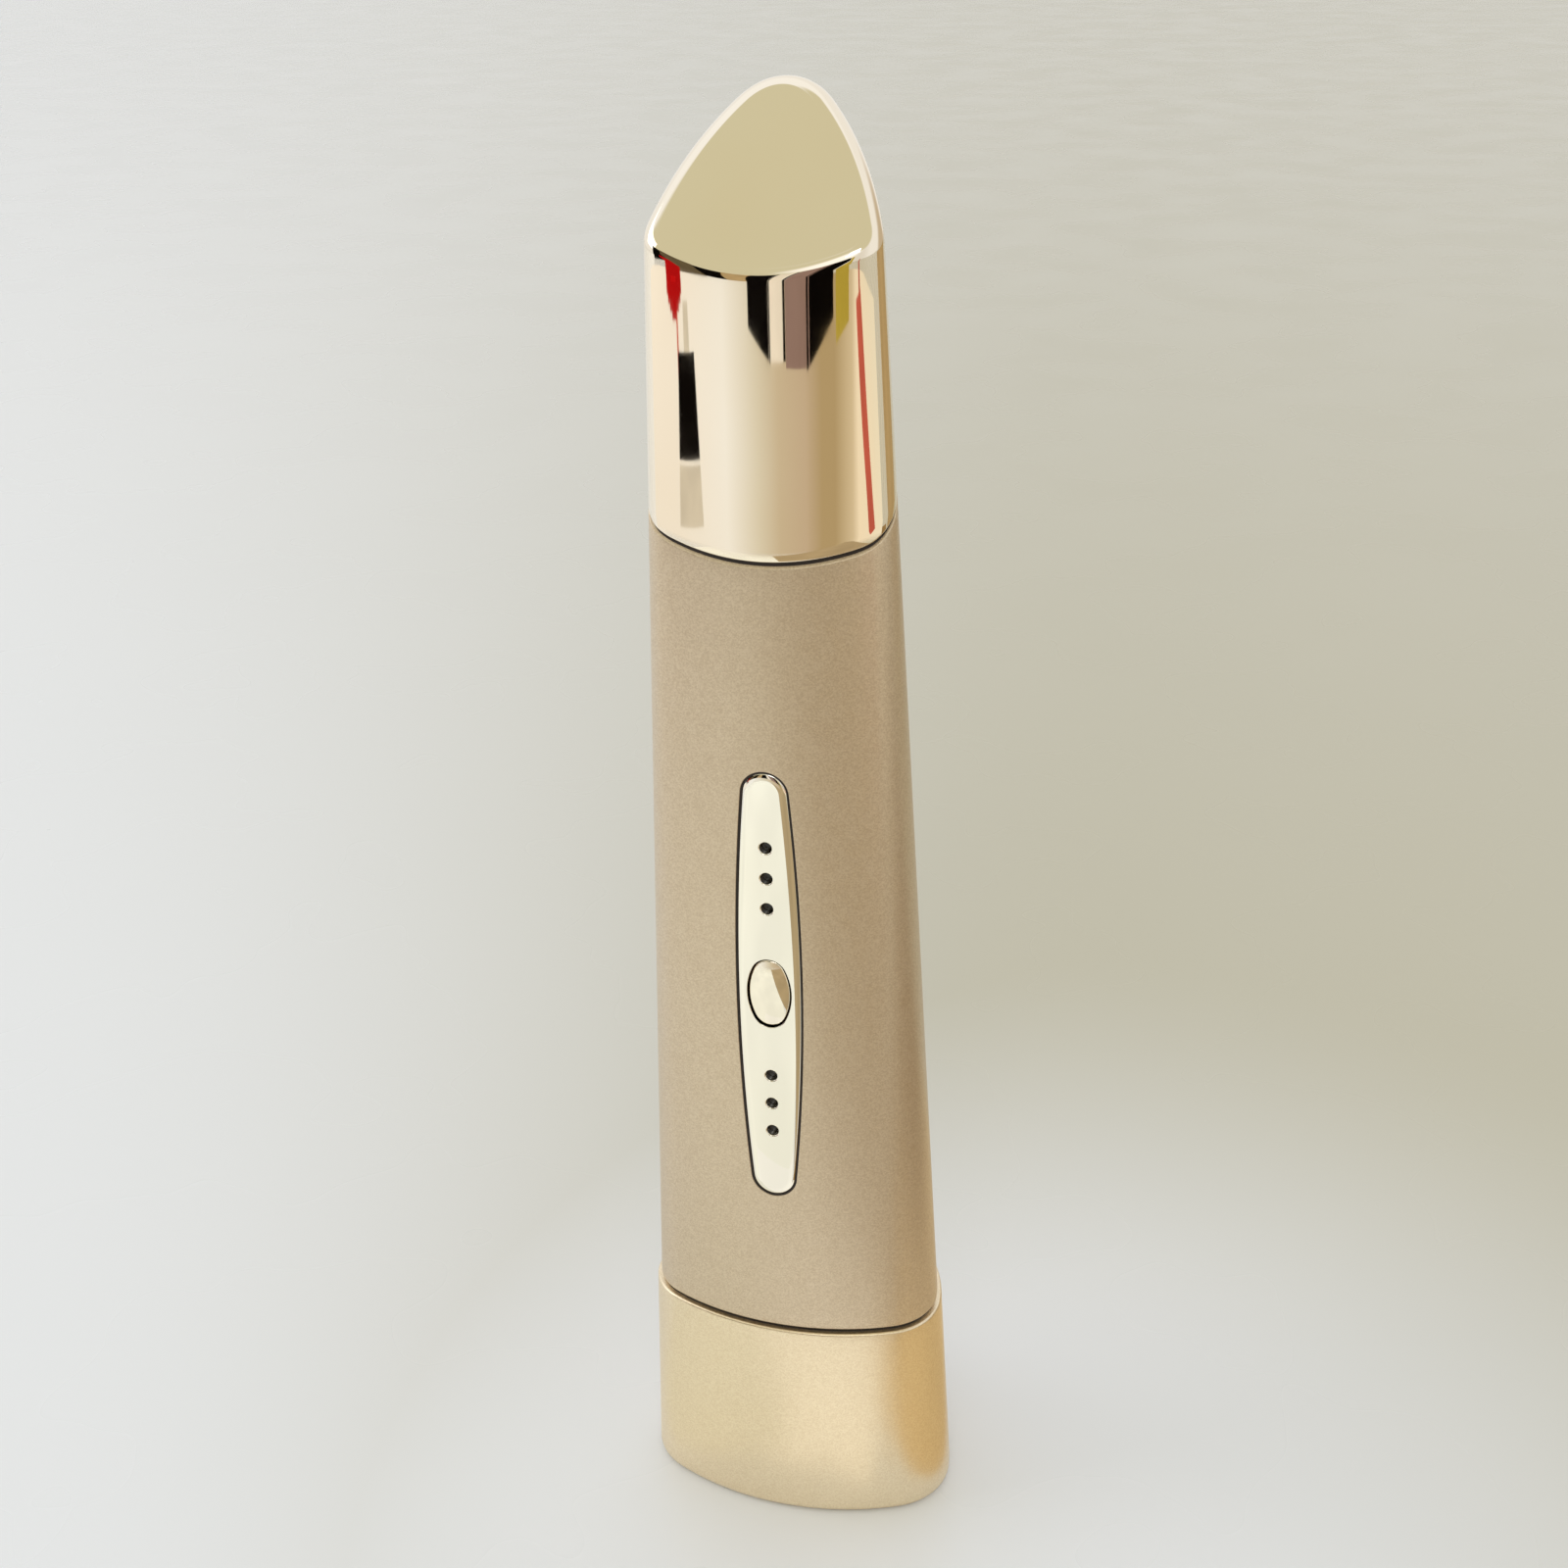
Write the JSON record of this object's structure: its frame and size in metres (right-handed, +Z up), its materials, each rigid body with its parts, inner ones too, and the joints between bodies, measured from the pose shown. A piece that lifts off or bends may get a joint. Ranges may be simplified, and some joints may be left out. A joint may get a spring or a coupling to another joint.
{
  "type": "heated eye massager wand",
  "caption": "Tapering free-standing massager wand with a slant-cut heated metal head, a press button and a vibration motor.",
  "frame": {"origin": "on the standing surface, under the middle of the foot's bounding box", "axes": "+Z up the wand to the head's tip, the front with the button faces -Y, +X is to the right seen from the front"},
  "size_m": [0.0326, 0.0271, 0.145],
  "materials": {
    "head_metal": "mirror-polished pale gold plating",
    "plate_metal": "mirror-polished pale gold plating",
    "button_metal": "mirror-polished pale gold plating",
    "body_paint": "satin metallic champagne-taupe paint",
    "cap_metal": "satin metallic peach-gold",
    "black_seal": "matte black",
    "dark_plastic": "moulded",
    "frame_plastic": "moulded",
    "smoked_lens": "smoked, polished",
    "heater_film": "amber film",
    "grey_foam": "soft matte",
    "board_green": "solder mask",
    "chip_black": "moulded",
    "connector_ivory": "moulded",
    "led_white": "moulded",
    "steel": "plated",
    "weight_brass": "machined",
    "battery_foil": "satin foil",
    "lead_red": "insulated wire",
    "lead_blue": "insulated wire"
  },
  "bodies": {
    "housing": {"head_shell": "head_metal", "head_seal": "black_seal", "head_carrier": "dark_plastic", "heater_film": "heater_film", "heater_pad": "grey_foam", "thermistor": "chip_black", "body_sleeve": "body_paint", "control_plate": "plate_metal", "plate_adhesive": "black_seal", "tact_switch": "steel", "light_guide_upper": "smoked_lens", "light_guide_lower": "smoked_lens", "indicator_leds": "led_white", "main_board": "board_green", "board_chips": "chip_black", "board_connectors": "connector_ivory", "board_screws": "steel", "inner_frame": "frame_plastic", "frame_screws": "steel", "battery": "battery_foil", "battery_pad": "grey_foam", "motor_boot": "black_seal", "motor_can": "steel", "motor_end_cap": "connector_ivory", "charge_board": "board_green", "charge_port_shell": "steel", "charge_port_core": "chip_black", "end_cap": "cap_metal", "end_seal": "black_seal", "heater_leads": "lead_red", "motor_leads": "lead_blue", "battery_leads": "lead_red", "charge_leads": "lead_red"},
    "button": {"power_button": "button_metal", "switch_plunger": "chip_black"},
    "rotor": {"motor_shaft": "steel", "eccentric_weight": "weight_brass"}
  },
  "joints": [
    {"name": "button_press", "type": "slide", "parent": "housing", "child": "button", "axis": [0, 1, 0], "range_m": [0, 0.00045], "stiffness_N_per_m": 1500},
    {"name": "motor_spin", "type": "hinge", "parent": "housing", "child": "rotor", "pos_m": [0, -0.00489, 0.1], "axis": [0, 0, 1], "continuous": true}
  ]
}
